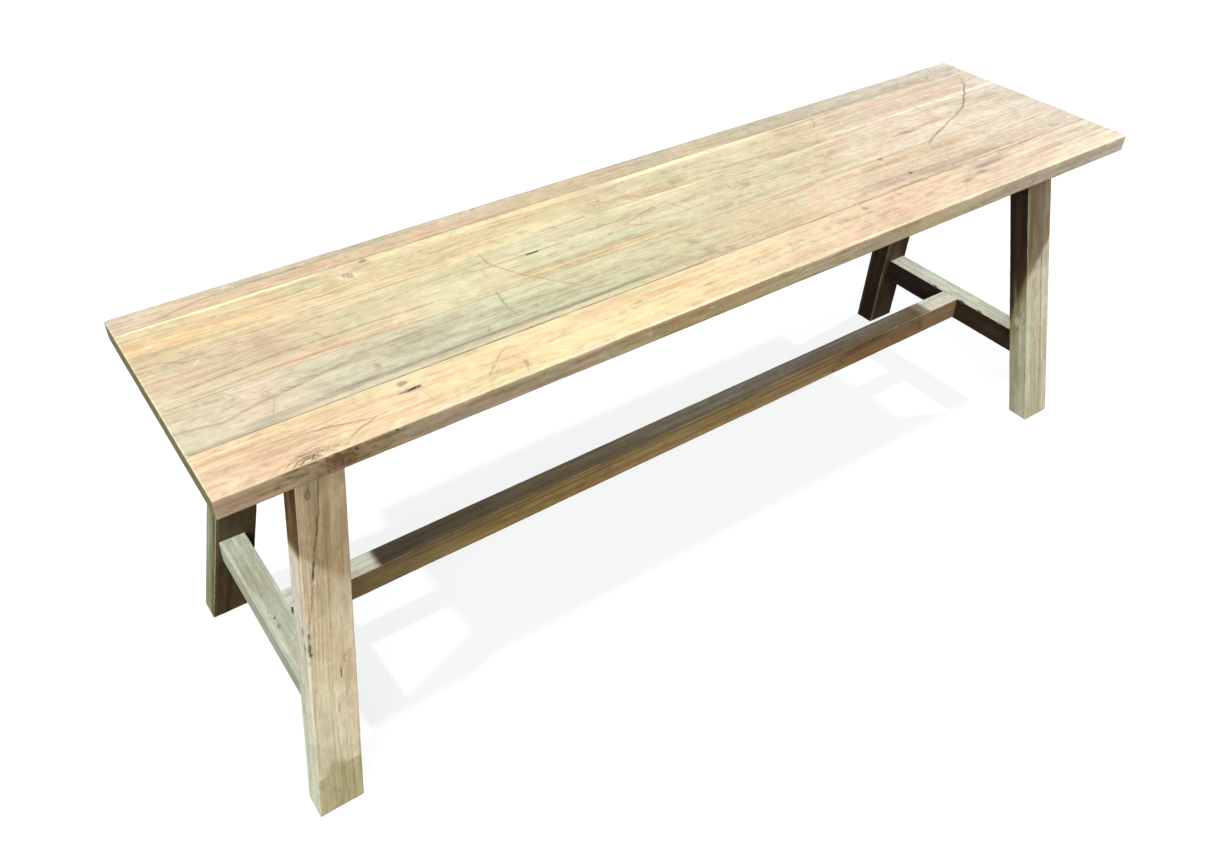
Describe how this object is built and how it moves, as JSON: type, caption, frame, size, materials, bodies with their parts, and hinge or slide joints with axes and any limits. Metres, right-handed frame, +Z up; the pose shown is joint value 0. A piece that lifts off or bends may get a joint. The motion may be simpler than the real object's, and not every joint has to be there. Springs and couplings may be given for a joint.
{
  "type": "backless bench",
  "caption": "Low backless wooden bench: a flat planked seat on splayed legs, with cross stretchers tied by a long rail.",
  "frame": {"origin": "on the floor, under the middle of the seat", "axes": "+X along the seat towards its right end, +Y towards the back edge, +Z up"},
  "size_m": [1.25, 0.3566, 0.45],
  "materials": {
    "seat_teak": "pale weathered teak, sanded smooth, left without varnish",
    "leg_teak": "greyed brown teak, sanded, with worn pale edges",
    "stretcher_teak": "greyed brown teak, sanded",
    "under_teak": "plain sawn teak, left rough from the saw",
    "dowel_beech": "plain beech dowel",
    "screw_steel": "zinc-plated steel"
  },
  "bodies": {
    "root": {"seat_plank_1": "seat_teak", "seat_plank_2": "seat_teak", "seat_plank_3": "seat_teak", "seat_plank_4": "seat_teak", "seat_plank_5": "seat_teak", "seat_batten": "under_teak", "seat_bearer_left": "under_teak", "seat_bearer_right": "under_teak", "leg_front_left": "leg_teak", "leg_back_left": "leg_teak", "leg_front_right": "leg_teak", "leg_back_right": "leg_teak", "cross_stretcher_left": "stretcher_teak", "cross_stretcher_right": "stretcher_teak", "long_stretcher": "stretcher_teak", "edge_dowel_1_1": "dowel_beech", "edge_dowel_1_2": "dowel_beech", "edge_dowel_1_3": "dowel_beech", "edge_dowel_1_4": "dowel_beech", "edge_dowel_1_5": "dowel_beech", "edge_dowel_1_6": "dowel_beech", "edge_dowel_2_1": "dowel_beech", "edge_dowel_2_2": "dowel_beech", "edge_dowel_2_3": "dowel_beech", "edge_dowel_2_4": "dowel_beech", "edge_dowel_2_5": "dowel_beech", "edge_dowel_2_6": "dowel_beech", "edge_dowel_3_1": "dowel_beech", "edge_dowel_3_2": "dowel_beech", "edge_dowel_3_3": "dowel_beech", "edge_dowel_3_4": "dowel_beech", "edge_dowel_3_5": "dowel_beech", "edge_dowel_3_6": "dowel_beech", "edge_dowel_4_1": "dowel_beech", "edge_dowel_4_2": "dowel_beech", "edge_dowel_4_3": "dowel_beech", "edge_dowel_4_4": "dowel_beech", "edge_dowel_4_5": "dowel_beech", "edge_dowel_4_6": "dowel_beech", "bearer_screw_left_1": "screw_steel", "bearer_screw_left_2": "screw_steel", "bearer_screw_left_3": "screw_steel", "bearer_screw_left_4": "screw_steel", "bearer_screw_right_1": "screw_steel", "bearer_screw_right_2": "screw_steel", "bearer_screw_right_3": "screw_steel", "bearer_screw_right_4": "screw_steel", "batten_screw_1": "screw_steel", "batten_screw_2": "screw_steel", "batten_screw_3": "screw_steel", "batten_screw_4": "screw_steel"}
  },
  "joints": []
}
